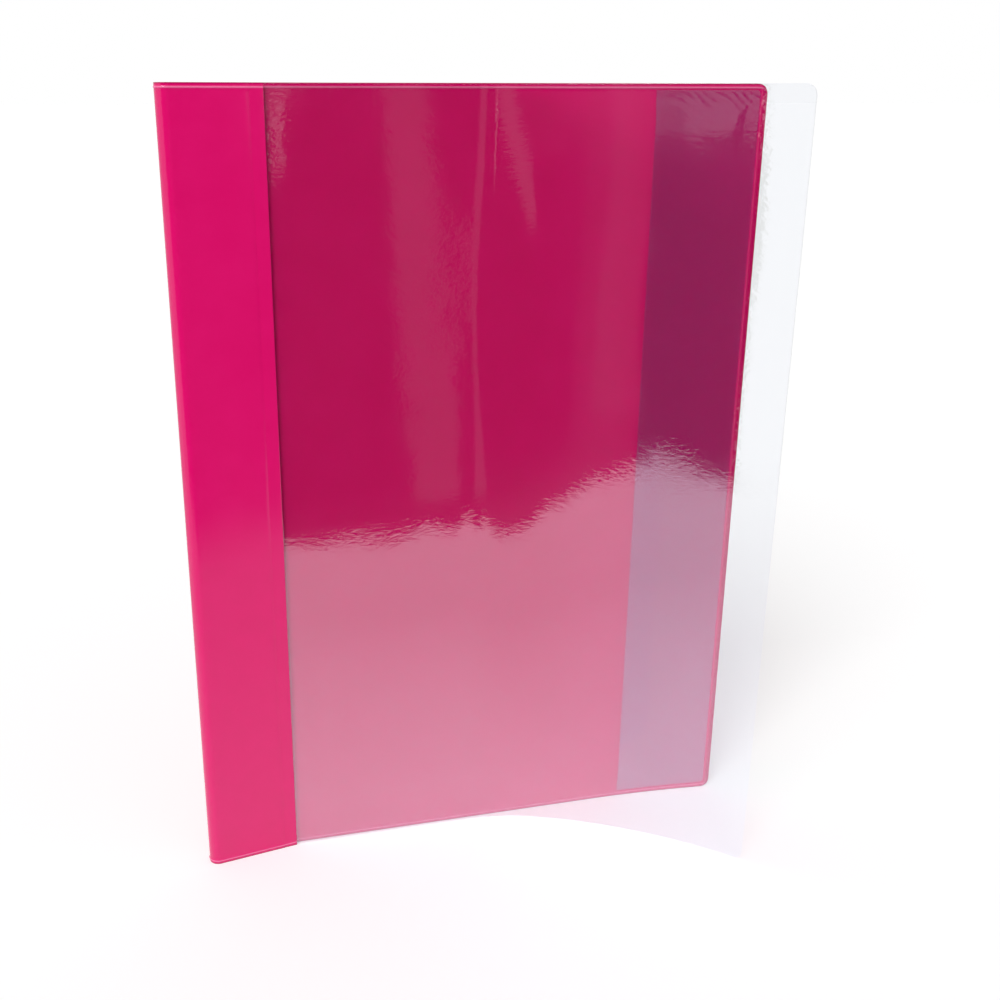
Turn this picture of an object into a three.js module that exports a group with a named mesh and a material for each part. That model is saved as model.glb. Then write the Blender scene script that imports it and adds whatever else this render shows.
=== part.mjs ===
import * as THREE from 'three';

// Clear-front file folder, standing on its bottom edges with the front cover a little open.
// Millimetres. +X runs from the spine to the free edges, +Y to the back, +Z up.

// Cover sheet: front strip, spine and back cover, folded from one opaque sheet
const coverHeight = 310;
const sheetThickness = 0.6;
const stripWidth = 33;
const spineRadius = 3.7;
const backFlatWidth = 167;
const backBowWidth = 59;
const backBowAngle = 6.4;
const backCornerRadius = 4;

// Raised seam that runs inside the sheet's edges, on both faces
const seamInset = 2.2;
const seamWidth = 1;
const seamRise = 0.15;

// Band behind the strip's free edge, where the film's margin is welded on
const bandWidth = 5;
const bandRamp = 0.6;

// Clear front: film that hugs the back cover, then lifts off it in a tight bend and a long one
const filmThickness = 0.3;
const filmTopMargin = 0.3;
const filmFlatWidth = 76.5;
const filmTightWidth = 30.5;
const filmTightAngle = 22.4;
const filmLongWidth = 91;
const filmLongAngle = 25;
const filmCornerRadius = 4;

// Inside pocket: clear strip along the back cover's free edge, open towards the spine
const pocketWidth = 42;
const pocketThickness = 0.25;
const pocketCornerRadius = 1.5;

// Clearances: film to back cover, film to strip, and pocket to back cover and seam
const coverGap = 1;
const hingeGap = 0.3;
const pocketGap = 0.3;

// Fineness of bends and of rounded corners
const spineSteps = 12;
const bowSteps = 8;
const tightSteps = 8;
const longSteps = 12;
const cornerSteps = 4;

// Cross-sections closer than this are one
const sameStation = 0.02;

const radians = THREE.MathUtils.degToRad;

// Plan line of a sheet. Each run is a length along it, the angle that it turns through, positive to the left,
// and the number of steps it is drawn in. Offsets are measured to the left of the line as well.
class PlanLine {
  constructor(start, heading, runs) {
    this.runs = [];
    let from = 0;
    let point = start.clone();
    let angle = heading;
    for (const [length, turn, steps] of runs) {
      const run = { from, length, point, angle, curl: turn / length, steps };
      this.runs.push(run);
      from += length;
      point = PlanLine.along(run, length);
      angle += turn;
    }
    this.length = from;
  }

  // The point a given way along one run.
  static along(run, way) {
    const turned = run.curl * way;
    const chord = turned === 0 ? way : (2 * Math.sin(turned / 2)) / run.curl;
    const direction = run.angle + turned / 2;
    return new THREE.Vector2(Math.cos(direction), Math.sin(direction)).multiplyScalar(chord).add(run.point);
  }

  // The point at arc length s, moved to the left by an offset.
  at(s, offset = 0) {
    const run = this.runs.findLast((each) => each.from <= s) ?? this.runs[0];
    const heading = this.heading(s);
    const left = new THREE.Vector2(-Math.sin(heading), Math.cos(heading));
    return PlanLine.along(run, s - run.from).addScaledVector(left, offset);
  }

  heading(s) {
    const run = this.runs.findLast((each) => each.from <= s) ?? this.runs[0];
    return run.angle + run.curl * (s - run.from);
  }

  // Arc lengths from low to high at which the sheet needs a cross-section.
  stations(low, high, extra = []) {
    const marks = this.runs.flatMap((run) =>
      Array.from({ length: run.steps }, (_, i) => run.from + (run.length * i) / run.steps),
    );
    const inside = [...marks, ...extra].filter((s) => s > low && s < high);
    const all = [low, ...inside.sort((a, b) => a - b), high];
    return all.filter((s, i) => i === 0 || s - all[i - 1] > sameStation);
  }
}

// How far a rounded corner pulls an edge in, at a distance from the side that the corner meets.
function cornerDrop(distance, radius) {
  const across = Math.max(0, radius - distance);
  return radius - Math.sqrt(radius * radius - across * across);
}

// Distances from a side at which a rounded corner needs a cross-section.
function cornerMarks(radius) {
  const turned = Array.from({ length: cornerSteps + 1 }, (_, i) => (i * Math.PI) / 2 / cornerSteps);
  return turned.map((angle) => radius * (1 - Math.cos(angle)));
}

// A closed sheet along a plan line. levels(s) lists the heights of one cross-section from the bottom up, and
// faces(s, level) the offsets of its left and right faces from the line.
function sheetGeometry(line, stations, levels, faces) {
  const positions = [];
  for (const s of stations) {
    levels(s).forEach((z, level) => {
      const [left, right] = faces(s, level);
      const a = line.at(s, left);
      const b = line.at(s, right);
      positions.push(a.x, a.y, z, b.x, b.y, z);
    });
  }
  const rows = levels(stations[0]).length;
  const top = rows - 1;
  const vertex = (station, row, side) => 2 * (station * rows + row) + side;
  const index = [];
  const quad = (a, b, c, d) => index.push(a, b, c, a, c, d);
  for (let i = 0; i + 1 < stations.length; i++) {
    for (let row = 0; row < top; row++) {
      quad(vertex(i + 1, row, 0), vertex(i, row, 0), vertex(i, row + 1, 0), vertex(i + 1, row + 1, 0));
      quad(vertex(i, row, 1), vertex(i + 1, row, 1), vertex(i + 1, row + 1, 1), vertex(i, row + 1, 1));
    }
    quad(vertex(i, 0, 0), vertex(i + 1, 0, 0), vertex(i + 1, 0, 1), vertex(i, 0, 1));
    quad(vertex(i, top, 1), vertex(i + 1, top, 1), vertex(i + 1, top, 0), vertex(i, top, 0));
  }
  const last = stations.length - 1;
  for (let row = 0; row < top; row++) {
    quad(vertex(0, row, 0), vertex(0, row, 1), vertex(0, row + 1, 1), vertex(0, row + 1, 0));
    quad(vertex(last, row, 1), vertex(last, row, 0), vertex(last, row + 1, 0), vertex(last, row + 1, 1));
  }
  const geometry = new THREE.BufferGeometry();
  geometry.setAttribute('position', new THREE.Float32BufferAttribute(positions, 3));
  geometry.setIndex(index);
  geometry.computeVertexNormals();
  return geometry;
}

// Insets of the seam's two feet and its crest from an edge.
const seamMarks = [seamInset - seamWidth / 2, seamInset, seamInset + seamWidth / 2];

// The strip leans so far that the film behind its free edge clears the back cover by the cover gap.
const edgeSpacing = sheetThickness + filmThickness + coverGap;
const stripReach = Math.hypot(spineRadius, stripWidth);
const stripLean = Math.acos((edgeSpacing - spineRadius) / stripReach) - Math.atan2(stripWidth, spineRadius);

// The cover sheet's line starts at the strip's free edge, with the outside of the folder on its left. It
// turns so far round the spine that the back cover runs along +X.
const spineTurn = Math.PI + stripLean;
const coverLine = new PlanLine(new THREE.Vector2(0, 0), spineTurn, [
  [stripWidth, 0, 1],
  [spineRadius * spineTurn, -spineTurn, spineSteps],
  [backFlatWidth, 0, 1],
  [backBowWidth, -radians(backBowAngle), bowSteps],
]);

function coverSheet() {
  const end = coverLine.length;
  const edgeMarks = [...cornerMarks(backCornerRadius), ...seamMarks].map((mark) => end - mark);
  const stations = coverLine.stations(0, end, [bandWidth - bandRamp, bandWidth, ...edgeMarks]);
  const crest = end - seamInset;
  const levels = (s) => {
    const low = cornerDrop(end - s, backCornerRadius);
    const high = coverHeight - low;
    const fromTop = seamMarks.toReversed().map((mark) => high - mark);
    return [low, ...seamMarks.map((mark) => low + mark), ...fromTop, high];
  };
  const bottomCrest = 2;
  const topCrest = 5;
  const faces = (s, level) => {
    const onRow = (level === bottomCrest || level === topCrest) && s < crest;
    const onColumn = Math.abs(s - crest) < sameStation && level >= bottomCrest && level <= topCrest;
    const rise = onRow || onColumn ? seamRise : 0;
    const band = filmThickness * THREE.MathUtils.clamp((bandWidth - s) / bandRamp, 0, 1);
    return [sheetThickness / 2 + rise, -sheetThickness / 2 - Math.max(rise, band)];
  };
  return sheetGeometry(coverLine, stations, levels, faces);
}

// The film starts beyond the strip's free edge, level with the welded band, and runs along the back cover.
const stripOutward = new THREE.Vector2(Math.cos(stripLean), Math.sin(stripLean));
const behindStrip = -(sheetThickness + filmThickness) / 2;
const filmStart = coverLine.at(0, behindStrip).addScaledVector(stripOutward, hingeGap);
const filmLine = new PlanLine(filmStart, 0, [
  [filmFlatWidth, 0, 1],
  [filmTightWidth, -radians(filmTightAngle), tightSteps],
  [filmLongWidth, -radians(filmLongAngle), longSteps],
]);

function clearFront() {
  const end = filmLine.length;
  const stations = filmLine.stations(0, end, cornerMarks(filmCornerRadius).map((mark) => end - mark));
  const levels = (s) => {
    const low = cornerDrop(end - s, filmCornerRadius);
    return [low, coverHeight - filmTopMargin - low];
  };
  return sheetGeometry(filmLine, stations, levels, () => [filmThickness / 2, -filmThickness / 2]);
}

function insidePocket() {
  const pocketInset = seamInset + seamWidth / 2 + pocketGap;
  const high = coverLine.length - pocketInset;
  const low = high - pocketWidth;
  const front = -(sheetThickness / 2 + pocketGap);
  const stations = coverLine.stations(low, high, cornerMarks(pocketCornerRadius).map((mark) => high - mark));
  const levels = (s) => {
    const inset = pocketInset + cornerDrop(high - s, pocketCornerRadius);
    return [inset, coverHeight - inset];
  };
  return sheetGeometry(coverLine, stations, levels, () => [front, front - pocketThickness]);
}

const opaquePlastic = new THREE.MeshStandardMaterial({ color: 0xd4005f, roughness: 0.4, metalness: 0 });
const clearFilm = new THREE.MeshStandardMaterial({
  color: 0xf2f5f6,
  roughness: 0.08,
  metalness: 0,
  transparent: true,
  opacity: 0.25,
});
const hazyFilm = new THREE.MeshStandardMaterial({
  color: 0xc9c4d6,
  roughness: 0.15,
  metalness: 0,
  transparent: true,
  opacity: 0.35,
});

function piece(name, geometry, material) {
  const mesh = new THREE.Mesh(geometry, material);
  mesh.name = name;
  return mesh;
}

const folder = new THREE.Group();
folder.add(piece('cover_sheet', coverSheet(), opaquePlastic));
folder.add(piece('clear_front', clearFront(), clearFilm));
folder.add(piece('inside_pocket', insidePocket(), hazyFilm));

// The origin is the middle of the footprint, on the surface that the folder stands on.
const bounds = new THREE.Box3().setFromObject(folder);
const middle = bounds.getCenter(new THREE.Vector3());
folder.position.set(-middle.x, -middle.y, -bounds.min.z);

export default folder;
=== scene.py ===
import math

import bpy
import numpy as np
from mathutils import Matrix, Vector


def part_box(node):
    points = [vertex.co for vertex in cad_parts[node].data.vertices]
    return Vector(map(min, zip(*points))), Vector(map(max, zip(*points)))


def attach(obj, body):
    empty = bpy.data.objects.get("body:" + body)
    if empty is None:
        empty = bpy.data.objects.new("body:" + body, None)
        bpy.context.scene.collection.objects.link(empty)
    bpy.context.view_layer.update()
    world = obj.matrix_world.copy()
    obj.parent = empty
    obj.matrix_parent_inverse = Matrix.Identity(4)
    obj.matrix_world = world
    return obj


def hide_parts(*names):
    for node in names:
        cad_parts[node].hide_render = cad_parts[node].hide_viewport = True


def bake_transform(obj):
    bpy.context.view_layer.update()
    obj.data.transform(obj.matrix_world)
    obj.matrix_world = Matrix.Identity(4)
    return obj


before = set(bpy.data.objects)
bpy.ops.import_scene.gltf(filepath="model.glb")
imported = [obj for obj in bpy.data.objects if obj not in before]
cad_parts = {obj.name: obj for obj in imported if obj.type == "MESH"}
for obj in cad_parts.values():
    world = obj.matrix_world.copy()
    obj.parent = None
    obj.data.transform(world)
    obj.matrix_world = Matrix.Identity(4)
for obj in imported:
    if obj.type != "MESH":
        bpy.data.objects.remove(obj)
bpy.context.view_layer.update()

MM = 0.001

# Cover sheet: front strip, spine and back cover, in metres
COVER_HEIGHT = 310 * MM
SHEET = 0.6 * MM
STRIP_WIDTH = 33 * MM
SPINE_RADIUS = 3.7 * MM
BACK_FLAT = 167 * MM
BACK_BOW = 59 * MM
BACK_BOW_ANGLE = math.radians(6.4)
BACK_CORNER = 4 * MM

# Raised seam inside the sheet's edges, and the shallow weld line behind the strip
SEAM_INSET = 2.2 * MM
END_SEAM_INSET = 1.5 * MM
SEAM_WIDTH = 1.0 * MM
SEAM_RISE = 0.24 * MM
WELD_WIDTH = 1.2 * MM
WELD_DEPTH = 0.08 * MM

# Softly rounded cut edges: depth of the rounding and share of the thickness left at the edge itself
EDGE_ROUNDING = 0.25 * MM
EDGE_SHARE = 0.55

# Clear front and its margin, which is welded a little into the back of the strip
FILM = 0.3 * MM
FILM_MARGIN = 5 * MM
FILM_TOP_MARGIN = 0.3 * MM
FILM_FLAT = 76.5 * MM
FILM_TIGHT = 30.5 * MM
FILM_TIGHT_ANGLE = math.radians(22.4)
FILM_LONG = 91 * MM
FILM_LONG_ANGLE = math.radians(25)
FILM_CORNER = 4 * MM
MARGIN_SINK = 0.03 * MM

# Soft waves of the clear front: height, wavelengths along and up the sheet, phase
FILM_WAVES = [
    (0.17 * MM, 150 * MM, 340 * MM, 0.6),
    (0.09 * MM, 64 * MM, -210 * MM, 2.1),
    (0.08 * MM, 230 * MM, 95 * MM, 4.0),
]
WAVES_BEGIN = 2 * MM
WAVES_FULL = 30 * MM

# Inside pocket, puffed up between its welds, with a slight drape
POCKET_WIDTH = 42 * MM
POCKET = 0.25 * MM
POCKET_CORNER = 1.5 * MM
POCKET_TOP_INSET_SHARE = 0.8
PUFF_HEIGHT = 0.8 * MM
PUFF_BEGIN = 0.8 * MM
PUFF_FULL = 14 * MM
DRAPE = (0.03 * MM, 31 * MM, 74 * MM, 0.9)
DRAPE_BEGIN = 2 * MM

# Slanting gathers at the pocket's top weld. They fade in below the weld and out again further down.
GATHER_HEIGHT = 0.12 * MM
GATHER_WIDTH = 1.1 * MM
GATHER_SPACING = 3.4 * MM
GATHER_SLOPE = 0.7
GATHER_SWAY = 0.9 * MM
GATHER_SWAY_LENGTH = 17 * MM
GATHER_FADE_IN = (0.1 * MM, 0.8 * MM)
GATHER_FADE_OUT = (2.5 * MM, 6.5 * MM)
GATHER_REACH_CHANGE = 0.4
GATHER_REACH_LENGTH = 13 * MM
GATHER_REACH_PHASE = 0.8
GATHER_ZONE = 9 * MM

# Clearances
COVER_GAP = 1.0 * MM
HINGE_GAP = 0.3 * MM
POCKET_GAP = 0.3 * MM

# Grids: steps along and up each sheet, and closer lines where a sheet bends, ends or carries relief
COVER_STEPS = (2.5 * MM, 4 * MM)
COVER_EDGE_LINES = np.array([0, 0.05, 0.12, 0.25, 0.6, 3.3]) * MM
SEAM_LINES = 11
SPINE_LINES = 33
FILM_STEPS = (1.8 * MM, 2 * MM)
FILM_EDGE_LINES = np.array([0, 0.06, 0.15, 0.5]) * MM
FILM_HINGE_LINES = np.linspace(-1.5 * MM, 2.5 * MM, 21)
POCKET_STEPS = (0.35 * MM, 3 * MM)
POCKET_EDGE_LINES = np.array([0, 0.05, 0.12, 0.4, 0.8, 1.2, 1.8, 2.5]) * MM
POCKET_OPEN_EDGE_LINES = POCKET_EDGE_LINES[:4]
GATHER_STEP = 0.25 * MM
NEAR_DOUBLE = 0.01 * MM
SHARP_ANGLE = math.radians(50)

# Magenta plastic: its two tones, a painted highlight along the seam, and painted shade at its cut edges and
# on the rim outside the side seam
PLASTIC_TONES = [(0.2, (0.675, 0.0, 0.124, 1)), (0.8, (0.715, 0.0, 0.139, 1))]
PLASTIC_ROUGHNESS = (0.15, 0.19)
PLASTIC_IOR = 1.5
PLASTIC_SPECULAR_TINT = (0.78, 0.86, 1.0, 1)
MOTTLE_SCALE = 90.0
MOTTLE_HEIGHT = 0.05 * MM
GRAIN_SCALE = 1500.0
GRAIN_HEIGHT = 0.010 * MM
SEAM_HIGHLIGHT_COLOR = (0.9, 0.2, 0.42, 1)
SEAM_HIGHLIGHT_REACH = (0.1 * MM, 0.42 * MM)
SEAM_HIGHLIGHT_END_SHARE = 0.75
SEAM_HIGHLIGHT_SIDE_SHARE = 0.12
EDGE_SHADE_COLOR = (0.30, 0.0, 0.05, 1)
EDGE_SHADE_END_REACH = (0.1 * MM, 0.7 * MM)
EDGE_SHADE_END_SHARE = 0.8
RIM_SHADE_REACH = (1.0 * MM, 2.2 * MM)
RIM_SHADE_SHARE = 0.45

# Clear films: tint of one face, share mirrored face on, relief heights, milkiness and its colour
FRONT_FILM_LOOK = {
    "tint": (0.965, 0.972, 0.975, 1),
    "mirror": 0.092,
    "ripple": 0.05 * MM,
    "crinkle": 0.02 * MM,
    "haze": 0.002,
    "haze_color": (0.8, 0.8, 0.8, 1),
}
POCKET_FILM_LOOK = {
    "tint": (0.955, 0.98, 1.0, 1),
    "mirror": 0.06,
    "ripple": 0.07 * MM,
    "crinkle": 0.036 * MM,
    "haze": 0.04,
    "haze_color": (0.12, 0.2, 0.5, 1),
}
CRINKLE_TURN = (0, math.radians(-24), 0)
CRINKLE_STRETCH = (0.7, 1, 1.6)
CRINKLE_SCALE = 520.0
RIPPLE_SCALE = 60.0
GRAZING_POWER = 3.2
GLOSS_COLOR = (0.88, 0.88, 1.0, 1)
GLOSS_ROUGHNESS = 0.03

# Set: floor, its extra glow in reflections at the object's foot, world light and key light
WHITE = (1, 1, 1, 1)
FLOOR_COLOR = (0.85, 0.85, 0.85, 1)
FLOOR_HALF_SIZE = 40.0
FLOOR_GLOW = 0.185
FOOT_GLOW = 0.5
FOOT_REACH = 0.20
WORLD_LIGHT = 0.48
KEY_STRENGTH = 2.25
KEY_SIZE = math.radians(35)
KEY_ROTATION = (math.radians(46), 0, math.radians(-34))

# Camera, found from the photograph's converging edges. The photograph is 1000 pixels square.
PHOTO_SIZE = 1000
FOCAL_PIXELS = 1180
CENTRE_PIXEL_X = 435
SENSOR_WIDTH = 36.0
CAMERA_DOWN = math.radians(19.0)
CAMERA_TURN = math.radians(14.2)
CAMERA_FROM_STRIP_EDGE = (-48.5 * MM, -434.5 * MM, 306.3 * MM)

# Inner edge of the dark surround: azimuth in degrees and radius in metres
DARK_EDGE = [
    (-66, 0.45), (-49, 0.46), (-43.5, 0.478), (-38.6, 0.53), (-34.8, 0.485), (-30, 0.45),
    (-24, 0.375), (-14, 0.330), (-6, 0.320), (-2, 0.314), (5, 0.316), (7.3, 0.322),
    (11, 0.342), (16, 0.328), (22, 0.40), (29, 0.485), (80, 0.6),
]
SURROUND_RADIUS = 2.2
SURROUND_HEIGHTS = (0.004, 2.4)
SURROUND_STEP = 6.0

# Lighter strips in the surround: brightness, then rows of two azimuths, a radius and a height
LOW = 0.006
FAR = 2.1
LIGHT_STRIPS = [
    (
        0.11,
        [
            (9.8, 16.2, 0.39, LOW),
            (11.1, 15.6, 0.54, LOW),
            (12.6, 15.1, 0.76, LOW),
            (13.3, 14.7, 1.07, LOW),
            (12.7, 14.7, 1.52, LOW),
            (11.9, 15.0, FAR, LOW),
            (11.1, 14.8, FAR, 0.16),
            (10.5, 13.7, FAR, 0.28),
            (9.8, 12.0, FAR, 0.40),
        ],
    ),
    (
        0.15,
        [
            (-17, -13, FAR, 0.04),
            (-16, -10, FAR, 0.10),
            (-14.5, -5, FAR, 0.18),
            (-9.5, 1, FAR, 0.24),
            (-1, 9, FAR, 0.34),
        ],
    ),
    (0.5, [(4.7, 5.1, FAR, 0.15), (4.7, 5.3, FAR, 0.25), (4.7, 5.9, FAR, 0.33)]),
    (0.04, [(-38.5, -31.5, 0.65, LOW), (-38.5, -31.5, FAR, LOW), (-38.5, -31.5, FAR, 2.2)]),
    (0.6, [(21, 36, 0.7, 0.274), (21, 36, 0.7, 1.4)]),
    (
        1.0,
        [
            (-80, -49.1, 0.46, LOW),
            (-80, -50.8, 0.70, LOW),
            (-80, -52.3, 1.47, LOW),
            (-80, -53.8, FAR, LOW),
            (-80, -54.9, FAR, 0.31),
            (-80, -54.9, FAR, 2.2),
        ],
    ),
]


class PlanLine:
    """A sheet's line seen from above, made of runs. Each run has a length and the angle that it turns
    through, positive to the left."""

    def __init__(self, start, heading, runs):
        self.runs = []
        point, angle, begin = np.array(start, float), heading, 0.0
        for length, turn in runs:
            self.runs.append((begin, length, point, angle, turn / length))
            point = point + self.chord(angle, turn / length, np.array([length]))[0]
            angle += turn
            begin += length
        self.length = begin

    @staticmethod
    def chord(angle, curl, way):
        """Steps from a run's start to the points at distances way along its arc of curvature curl."""
        turned = curl * way
        size = way if curl == 0 else 2 * np.sin(turned / 2) / curl
        return np.stack([np.cos(angle + turned / 2), np.sin(angle + turned / 2)], -1) * size[..., None]

    def at(self, s):
        """Points and left-hand normals at arc lengths s. The line runs on straight past both ends."""
        s = np.asarray(s, float)
        points, normals = np.zeros((*s.shape, 2)), np.zeros((*s.shape, 2))
        for number, (begin, length, point, angle, curl) in enumerate(self.runs):
            first, last = number == 0, number == len(self.runs) - 1
            here = ((s >= begin) | first) & ((s < begin + length) | last)
            way = s[here] - begin
            turning = np.clip(way, 0, length)
            heading = angle + curl * turning
            straight = np.stack([np.cos(heading), np.sin(heading)], -1) * (way - turning)[..., None]
            points[here] = point + self.chord(angle, curl, turning) + straight
            normals[here] = np.stack([-np.sin(heading), np.cos(heading)], -1)
        return points, normals


def spaced(low, high, step):
    """Even values from low to high, about a step apart."""
    return np.linspace(low, high, max(2, round((high - low) / step) + 1))


def merged(*groups):
    """All values of several groups in order, without near doubles."""
    values = np.sort(np.concatenate(groups))
    return values[np.concatenate([[True], np.diff(values) > NEAR_DOUBLE])]


def bell(distance, width):
    """A smooth ridge of height 1 and the given width at its foot."""
    ridge = 0.5 + 0.5 * np.cos(2 * math.pi * distance / width)
    return np.where(np.abs(distance) < width / 2, ridge, 0.0)


def smooth(x, low, high):
    """Goes softly from 0 at low to 1 at high, and stays level outside."""
    t = np.clip((x - low) / (high - low), 0, 1)
    return t * t * (3 - 2 * t)


def wave(x, y, shape):
    """A sine wave over two coordinates. Its shape holds a height, two wavelengths and a phase."""
    height, x_length, y_length, phase = shape
    return height * np.sin(2 * math.pi * (x / x_length + y / y_length) + phase)


def rounded(along, up, size, corners):
    """Moves a grid's points so that the sheet gets round corners, by mapping each corner's square onto a
    disc. corners holds (at the end, at the top, radius)."""
    along, up = along.copy(), up.copy()
    for at_end, at_top, radius in corners:
        p = (along - size[0] + radius if at_end else radius - along) / radius
        q = (up - size[1] + radius if at_top else radius - up) / radius
        inside = (p > 0) & (q > 0)
        round_p = p * np.sqrt(np.clip(1 - q * q / 2, 0, 1))
        round_q = q * np.sqrt(np.clip(1 - p * p / 2, 0, 1))
        along[inside] += ((round_p - p) * (radius if at_end else -radius))[inside]
        up[inside] += ((round_q - q) * (radius if at_top else -radius))[inside]
    return along, up


def sheet(name, line, s, z, height, radius, faces, start=0.0):
    """A closed thin sheet on a grid of arc lengths s, counted from start, and heights z. Its corners at the
    end of the line are round. faces(s, z) gives the offsets of its left and right faces from the line.
    UVs are the grid's own s and z in metres."""
    grid_s, grid_z = np.meshgrid(s, z, indexing="ij")
    length = s[-1] - start
    corners = [(True, False, radius), (True, True, radius)]
    round_s, round_z = rounded(grid_s - start, grid_z - z[0], (length, height), corners)
    points, normals = line.at(round_s + start)
    count, rows = grid_s.shape
    vertices = []
    for offset in faces(grid_s, grid_z):
        place = points + normals * offset[..., None]
        vertices.append(np.concatenate([place, (round_z + z[0])[..., None]], -1).reshape(-1, 3))
    left = np.arange(count * rows).reshape(count, rows)
    right = left + count * rows
    quads = [
        np.stack([left[1:, :-1], left[:-1, :-1], left[:-1, 1:], left[1:, 1:]], -1),
        np.stack([right[:-1, :-1], right[1:, :-1], right[1:, 1:], right[:-1, 1:]], -1),
        np.stack([left[:-1, 0], left[1:, 0], right[1:, 0], right[:-1, 0]], -1),
        np.stack([right[:-1, -1], right[1:, -1], left[1:, -1], left[:-1, -1]], -1),
        np.stack([left[0, :-1], right[0, :-1], right[0, 1:], left[0, 1:]], -1),
        np.stack([right[-1, :-1], left[-1, :-1], left[-1, 1:], right[-1, 1:]], -1),
    ]
    polygons = np.concatenate([q.reshape(-1, 4) for q in quads])
    mesh = bpy.data.meshes.new(name)
    mesh.from_pydata(np.concatenate(vertices).tolist(), [], polygons.tolist())
    flat = np.stack([np.tile(grid_s.ravel(), 2), np.tile(grid_z.ravel(), 2)], -1)
    loops = np.zeros(len(mesh.loops), int)
    mesh.loops.foreach_get("vertex_index", loops)
    mesh.uv_layers.new(name="sheet").data.foreach_set("uv", flat[loops].ravel())
    mesh.shade_smooth()
    mesh.set_sharp_from_angle(angle=SHARP_ANGLE)
    piece = bpy.data.objects.new(name, mesh)
    bpy.context.collection.objects.link(piece)
    return piece


# Plan lines, as in the solids, and their shift into the frame
edge_spacing = SHEET + FILM + COVER_GAP
strip_reach = math.hypot(SPINE_RADIUS, STRIP_WIDTH)
strip_lean = math.acos((edge_spacing - SPINE_RADIUS) / strip_reach) - math.atan2(STRIP_WIDTH, SPINE_RADIUS)
spine_turn = math.pi + strip_lean
cover_runs = [
    (STRIP_WIDTH, 0),
    (SPINE_RADIUS * spine_turn, -spine_turn),
    (BACK_FLAT, 0),
    (BACK_BOW, -BACK_BOW_ANGLE),
]
outward = np.array([math.cos(strip_lean), math.sin(strip_lean)])
behind = np.array([-math.sin(strip_lean), math.cos(strip_lean)])
film_start = behind * (SHEET + FILM) / 2 + outward * HINGE_GAP
film_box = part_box("clear_front")
strip_edge = np.array([film_box[0][0] - film_start[0], film_box[1][1] - FILM / 2 - film_start[1]])
cover_line = PlanLine(strip_edge, spine_turn, cover_runs)
film_line = PlanLine(
    strip_edge + film_start,
    0,
    [(FILM_FLAT, 0), (FILM_TIGHT, -FILM_TIGHT_ANGLE), (FILM_LONG, -FILM_LONG_ANGLE)],
)


def edge_marks(seam_inset):
    """Insets from an edge where the seam and the rounded edge need grid lines."""
    seam = seam_inset + np.linspace(-0.5, 0.5, SEAM_LINES) * SEAM_WIDTH
    return np.concatenate([COVER_EDGE_LINES, seam])


def edge_taper(inset):
    """Share of the full thickness at a distance from the sheet's edge, for a softly rounded edge."""
    flat = np.clip(inset / EDGE_ROUNDING, 0, 1)
    return EDGE_SHARE + (1 - EDGE_SHARE) * np.sqrt(np.clip(1 - (1 - flat) ** 2, 0, 1))


def cover_sheet():
    end = cover_line.length
    marks = edge_marks(SEAM_INSET)
    end_marks = edge_marks(END_SEAM_INSET)
    bend = STRIP_WIDTH + np.linspace(0, SPINE_RADIUS * spine_turn, SPINE_LINES)
    free_edge = COVER_EDGE_LINES[:-1]
    s = merged(spaced(0, end, COVER_STEPS[0]), bend, free_edge, FILM_MARGIN + marks, end - marks)
    z = merged(spaced(0, COVER_HEIGHT, COVER_STEPS[1]), end_marks, COVER_HEIGHT - end_marks)

    def faces(along, up):
        to_top_or_bottom = np.minimum(up, COVER_HEIGHT - up)
        to_edge = np.minimum(to_top_or_bottom, end - along)
        to_seam = np.minimum(to_top_or_bottom - END_SEAM_INSET, end - along - SEAM_INSET)
        seam = SEAM_RISE * bell(to_seam, SEAM_WIDTH)
        seam = np.where(along < FILM_MARGIN, seam * smooth(along, 0, FILM_MARGIN), seam)
        weld = WELD_DEPTH * bell(along - FILM_MARGIN, WELD_WIDTH)
        half = SHEET / 2 * edge_taper(np.minimum(to_edge, along))
        return half + seam - weld, -half - seam

    return sheet("folded_cover", cover_line, s, z, COVER_HEIGHT, BACK_CORNER, faces)


def front_film():
    end = film_line.length
    height = COVER_HEIGHT - FILM_TOP_MARGIN
    rim = FILM_EDGE_LINES
    s = merged(spaced(-FILM_MARGIN, end, FILM_STEPS[0]), FILM_HINGE_LINES, end - rim, rim - FILM_MARGIN)
    z = merged(spaced(0, height, FILM_STEPS[1]), rim, height - rim)

    def faces(along, up):
        lean = np.clip(-along, 0, None) * math.sin(strip_lean) + MARGIN_SINK * smooth(-along, 0, HINGE_GAP)
        waves = sum(wave(along, up, shape) for shape in FILM_WAVES) * smooth(along, WAVES_BEGIN, WAVES_FULL)
        inset = np.minimum(np.minimum(up, height - up), end - along)
        half = FILM / 2 * edge_taper(inset)
        middle = waves - lean
        return middle + half, middle - half

    return sheet("front_film", film_line, s, z, height, FILM_CORNER, faces, start=-FILM_MARGIN)


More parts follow.
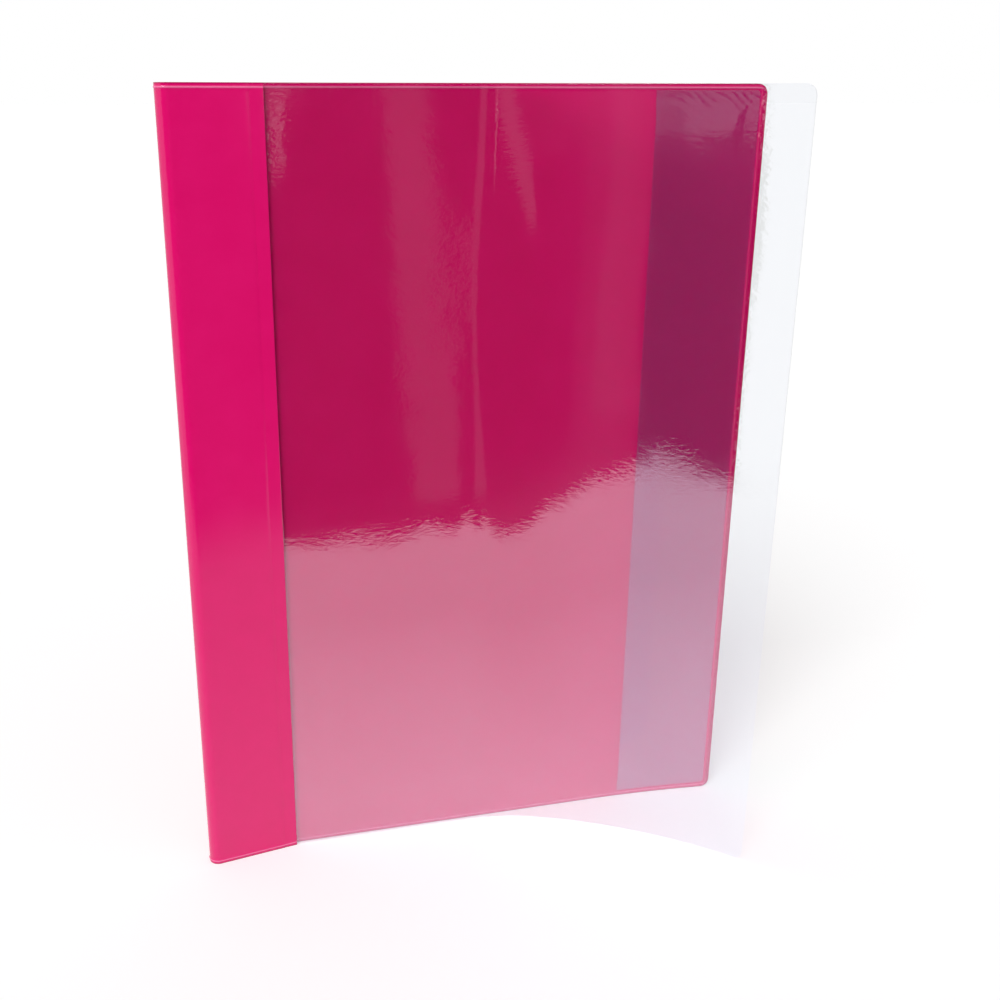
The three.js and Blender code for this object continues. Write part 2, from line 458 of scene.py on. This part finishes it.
def pocket_film():
    inset = SEAM_INSET + SEAM_WIDTH / 2 + POCKET_GAP
    high = cover_line.length - inset
    low = high - POCKET_WIDTH
    bottom, top = inset, COVER_HEIGHT - POCKET_TOP_INSET_SHARE * inset
    rim = POCKET_EDGE_LINES
    s = merged(spaced(low, high, POCKET_STEPS[0]), high - rim, low + POCKET_OPEN_EDGE_LINES)
    z = merged(
        spaced(bottom, top, POCKET_STEPS[1]),
        spaced(top - GATHER_ZONE, top, GATHER_STEP),
        bottom + rim,
        top - rim,
    )

    def faces(along, up):
        from_weld = np.minimum(np.minimum(up - bottom, top - up), high - along)
        down, across = top - up, along - low
        sway = GATHER_SWAY * np.sin(2 * math.pi * across / GATHER_SWAY_LENGTH)
        bent = down - GATHER_SLOPE * across - sway
        gathers = bell(bent - GATHER_SPACING * np.round(bent / GATHER_SPACING), GATHER_WIDTH)
        turn = 2 * math.pi * across / GATHER_REACH_LENGTH + GATHER_REACH_PHASE
        shorter = 1 + GATHER_REACH_CHANGE * np.sin(turn)
        fade = smooth(down, *GATHER_FADE_IN) * (1 - smooth(down * shorter, *GATHER_FADE_OUT))
        puff = PUFF_HEIGHT * smooth(from_weld, PUFF_BEGIN, PUFF_FULL)
        drape = wave(across, down, DRAPE) * smooth(from_weld, DRAPE_BEGIN, PUFF_FULL)
        puff = puff + GATHER_HEIGHT * gathers * fade + drape
        half = POCKET / 2 * edge_taper(np.minimum(from_weld, along - low))
        middle = -(SHEET / 2 + POCKET_GAP + POCKET / 2) - np.clip(puff, 0, None)
        return middle + half, middle - half

    return sheet("pocket_film", cover_line, s, z, top - bottom, POCKET_CORNER, faces, start=low)


class Nodes:
    """A small helper that adds and links the nodes of one material or world."""

    def __init__(self, owner, output="OutputMaterial"):
        owner.use_nodes = True
        self.owner = owner
        self.tree = owner.node_tree
        self.tree.nodes.clear()
        self.output = self.add(output)

    def add(self, kind, settings=(), **inputs):
        """Adds a node. Inputs are named, with _ for a space, or numbered, as in i0."""
        node = self.tree.nodes.new("ShaderNode" + kind)
        for key, value in dict(settings).items():
            setattr(node, key, value)
        for key, value in inputs.items():
            socket = node.inputs[int(key[1:])] if key[1:].isdigit() else node.inputs[key.replace("_", " ")]
            if isinstance(value, bpy.types.NodeSocket):
                self.tree.links.new(value, socket)
            else:
                socket.default_value = value
        return node

    def math(self, operation, a, b=0.0):
        return self.add("Math", {"operation": operation}, i0=a, i1=b).outputs[0]

    def ramp(self, value, reach, at_low, at_high):
        """Runs from at_low to at_high while the value runs over its reach, and stays level outside."""
        return self.add("MapRange", Value=value, i1=reach[0], i2=reach[1], i3=at_low, i4=at_high).outputs[0]

    def mix_colors(self, share, first, second):
        return self.add("Mix", {"data_type": "RGBA"}, i0=share, i6=first, i7=second).outputs[2]

    def noise(self, where, scale, detail=2.0, roughness=0.5):
        node = self.add("TexNoise", Vector=where, Scale=scale, Detail=detail, Roughness=roughness)
        return node.outputs["Fac"]

    def bump(self, height, distance, **more):
        return self.add("Bump", Height=height, Distance=distance, Strength=1.0, **more).outputs[0]

    def object_place(self):
        return self.add("TexCoord").outputs["Object"]

    def sheet_place(self):
        """The arc length and the height on a sheet, from its UVs."""
        uv = self.add("UVMap", {"uv_map": "sheet"}).outputs[0]
        return self.add("SeparateXYZ", Vector=uv).outputs[:2]

    def seen(self):
        """1 for rays that show the set, straight, mirrored or through glass. 0 for light on the object."""
        path = self.add("LightPath").outputs
        straight_or_mirrored = self.math("MAXIMUM", path["Is Camera Ray"], path["Is Glossy Ray"])
        return self.math("MAXIMUM", straight_or_mirrored, path["Is Transmission Ray"])

    def finish(self, surface):
        self.tree.links.new(surface, self.output.inputs["Surface"])
        return self.owner


def new_material(name):
    return Nodes(bpy.data.materials.new(name))


def opaque_plastic():
    """Magenta plastic sheet: satin, with a fine grain and faint mottling."""
    m = new_material("opaque plastic")
    where = m.object_place()
    mottle = m.noise(where, MOTTLE_SCALE, 4.0, 0.6)
    tone = m.add("ValToRGB", Fac=mottle)
    for element, (position, color) in zip(tone.color_ramp.elements, PLASTIC_TONES):
        element.position = position
        element.color = color
    rough = m.ramp(mottle, (PLASTIC_TONES[0][0], PLASTIC_TONES[1][0]), *PLASTIC_ROUGHNESS)
    grain = m.bump(m.noise(where, GRAIN_SCALE, 1.0), GRAIN_HEIGHT)
    normal = m.bump(mottle, MOTTLE_HEIGHT, Normal=grain)
    # Painted highlight: a paler colour along the seam stands in for the light that its raised ridge
    # catches.
    highlighted = m.mix_colors(painted_seam_highlight(m), tone.outputs[0], SEAM_HIGHLIGHT_COLOR)
    # Painted shade: a darker colour at the cut top and bottom edges and on the rim by the side edge.
    color = m.mix_colors(painted_edge_shade(m), highlighted, EDGE_SHADE_COLOR)
    surface = m.add("BsdfPrincipled", Base_Color=color, Roughness=rough, IOR=PLASTIC_IOR, Normal=normal)
    surface.inputs["Specular Tint"].default_value = PLASTIC_SPECULAR_TINT
    return m.finish(surface.outputs[0])


def painted_seam_highlight(m):
    """Share of the pale painted highlight along the seam, which stands in for the light that the seam's
    ridge catches.
    """
    along, up = m.sheet_place()
    from_top = m.math("ABSOLUTE", m.math("SUBTRACT", up, COVER_HEIGHT - END_SEAM_INSET))
    from_bottom = m.math("ABSOLUTE", m.math("SUBTRACT", up, END_SEAM_INSET))
    from_side = m.math("ABSOLUTE", m.math("SUBTRACT", along, cover_line.length - SEAM_INSET))
    ends = m.ramp(m.math("MINIMUM", from_top, from_bottom), SEAM_HIGHLIGHT_REACH, SEAM_HIGHLIGHT_END_SHARE, 0.0)
    side = m.ramp(from_side, SEAM_HIGHLIGHT_REACH, SEAM_HIGHLIGHT_SIDE_SHARE, 0.0)
    return m.math("MAXIMUM", ends, side)


def painted_edge_shade(m):
    """Share of painted shade at the cut top and bottom edges, and on the rim along the side edge outside
    the seam.
    """
    along, up = m.sheet_place()
    from_end = m.math("MINIMUM", up, m.math("SUBTRACT", COVER_HEIGHT, up))
    from_side = m.math("SUBTRACT", cover_line.length, along)
    ends = m.ramp(from_end, EDGE_SHADE_END_REACH, EDGE_SHADE_END_SHARE, 0.0)
    side = m.ramp(from_side, RIM_SHADE_REACH, RIM_SHADE_SHARE, 0.0)
    return m.math("MAXIMUM", ends, side)


def clear_film(name, tint, mirror, ripple, crinkle, haze, haze_color):
    """Clear plastic film. A mirror-like share, which grows towards grazing angles, lies over what shows
    through. Lamp light passes it evenly dimmed."""
    m = new_material(name)
    where = m.object_place()
    slant = m.add("Mapping", Vector=where, Rotation=CRINKLE_TURN, Scale=CRINKLE_STRETCH).outputs[0]
    fine = m.bump(m.noise(slant, CRINKLE_SCALE, 2.0, 0.6), crinkle)
    normal = m.bump(m.noise(where, RIPPLE_SCALE), ripple, Normal=fine)
    facing = m.add("LayerWeight", Blend=0.5).outputs["Facing"]
    grazing = m.math("MULTIPLY", m.math("POWER", facing, GRAZING_POWER), 1.0 - mirror)
    share = m.math("ADD", grazing, mirror)
    through = m.add("BsdfTransparent", Color=tint).outputs[0]
    milky = m.add("BsdfDiffuse", Color=haze_color).outputs[0]
    body = m.add("MixShader", Fac=haze, i1=through, i2=milky).outputs[0]
    gloss = m.add("BsdfGlossy", Color=GLOSS_COLOR, Roughness=GLOSS_ROUGHNESS, Normal=normal).outputs[0]
    seen = m.add("MixShader", Fac=share, i1=body, i2=gloss).outputs[0]
    dimmed = [value * (1 - mirror) * (1 - haze) for value in tint[:3]]
    for_lamps = m.add("BsdfTransparent", Color=(*dimmed, 1)).outputs[0]
    lamp_ray = m.add("LightPath").outputs["Is Shadow Ray"]
    return m.finish(m.add("MixShader", Fac=lamp_ray, i1=seen, i2=for_lamps).outputs[0])


def floor_material():
    """White to the camera and in reflections, where it is brighter still close in front of the object.
    For the light on the object it is a plain pale grey."""
    m = new_material("pale floor")
    plain = m.add("BsdfDiffuse", Color=FLOOR_COLOR).outputs[0]
    forward = m.add("SeparateXYZ", Vector=m.object_place()).outputs[1]
    near = m.ramp(m.math("ABSOLUTE", forward), (0.0, FOOT_REACH), FOOT_GLOW, 0.0)
    mirrored = m.add("LightPath").outputs["Is Glossy Ray"]
    glow = m.math("ADD", m.math("MULTIPLY", m.seen(), FLOOR_GLOW), m.math("MULTIPLY", near, mirrored))
    glow = m.add("Emission", Color=WHITE, Strength=glow).outputs[0]
    return m.finish(m.add("AddShader", i0=plain, i1=glow).outputs[0])


def card_material(name, brightness):
    m = new_material(name)
    return m.finish(m.add("Emission", Color=WHITE, Strength=brightness).outputs[0])


def stage_mesh(name, vertices, polygons, material):
    mesh = bpy.data.meshes.new(name)
    mesh.from_pydata(vertices, [], polygons)
    mesh.materials.append(material)
    piece = bpy.data.objects.new(name, mesh)
    bpy.context.collection.objects.link(piece)
    return piece


def make_floor():
    size = FLOOR_HALF_SIZE
    corners = [(-size, -size, 0), (size, -size, 0), (size, size, 0), (-size, size, 0)]
    stage_mesh("floor", corners, [(0, 1, 2, 3)], floor_material())


def card(name, rows, brightness):
    """A card round the front of the set, which only reflections show. Each row lists azimuths, radii and
    heights. Azimuths are in degrees from straight in front, positive to the right."""
    vertices = []
    for row in rows:
        for azimuth, radius, height in row:
            turn = math.radians(azimuth)
            vertices.append((radius * math.sin(turn), -radius * math.cos(turn), height))
    count = len(rows[0])
    polygons = [
        (i * count + j, i * count + j + 1, (i + 1) * count + j + 1, (i + 1) * count + j)
        for i in range(len(rows) - 1)
        for j in range(count - 1)
    ]
    piece = stage_mesh(name, vertices, polygons, card_material(name, brightness))
    for ray in ("camera", "diffuse", "transmission", "shadow", "volume_scatter"):
        setattr(piece, "visible_" + ray, False)


def make_cards():
    """A dark surround beyond the white floor and a few lighter strips in it, for the reflections in the
    film."""
    edge = np.array(DARK_EDGE)
    azimuths = merged(edge[:, 0], np.arange(edge[0, 0], edge[-1, 0], SURROUND_STEP))
    radii = np.interp(azimuths, edge[:, 0], edge[:, 1])
    inner = [(azimuth, radius, SURROUND_HEIGHTS[0]) for azimuth, radius in zip(azimuths, radii)]
    outer = [[(azimuth, SURROUND_RADIUS, height) for azimuth in azimuths] for height in SURROUND_HEIGHTS]
    card("dark_surround", [inner, *outer], 0.0)
    for number, (brightness, rows) in enumerate(LIGHT_STRIPS):
        sides = [[(low, radius, height), (high, radius, height)] for low, high, radius, height in rows]
        card(f"light_strip_{number}", sides, brightness)


def make_world():
    """White to the camera and in reflections, and a weaker, even light on the object."""
    m = Nodes(bpy.data.worlds.new("studio"), "OutputWorld")
    strength = m.ramp(m.seen(), (0.0, 1.0), WORLD_LIGHT, 1.0)
    bpy.context.scene.world = m.finish(m.add("Background", Color=WHITE, Strength=strength).outputs[0])


def make_key():
    """A large soft key light from the upper left front."""
    data = bpy.data.lights.new("key", "SUN")
    data.energy = KEY_STRENGTH
    data.angle = KEY_SIZE
    lamp = bpy.data.objects.new("key", data)
    bpy.context.collection.objects.link(lamp)
    lamp.rotation_euler = KEY_ROTATION


def make_camera():
    data = bpy.data.cameras.new("camera")
    data.sensor_width = SENSOR_WIDTH
    data.lens = SENSOR_WIDTH * FOCAL_PIXELS / PHOTO_SIZE
    data.shift_x = (PHOTO_SIZE / 2 - CENTRE_PIXEL_X) / PHOTO_SIZE
    camera = bpy.data.objects.new("camera", data)
    bpy.context.collection.objects.link(camera)
    x, y, z = CAMERA_FROM_STRIP_EDGE
    camera.location = (strip_edge[0] + x, strip_edge[1] + y, z)
    camera.rotation_euler = (math.pi / 2 - CAMERA_DOWN, 0, -CAMERA_TURN)
    bpy.context.scene.camera = camera


make_camera()

cover = cover_sheet()
cover.data.materials.append(opaque_plastic())
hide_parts("cover_sheet")
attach(cover, "back")

film = front_film()
film.data.materials.append(clear_film("clear film", **FRONT_FILM_LOOK))
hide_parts("clear_front")
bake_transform(film)

pocket = pocket_film()
pocket.data.materials.append(clear_film("pocket film", **POCKET_FILM_LOOK))
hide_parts("inside_pocket")
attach(pocket, "back")

make_floor()
make_cards()
make_world()
make_key()
bpy.context.scene.view_settings.view_transform = "Standard"
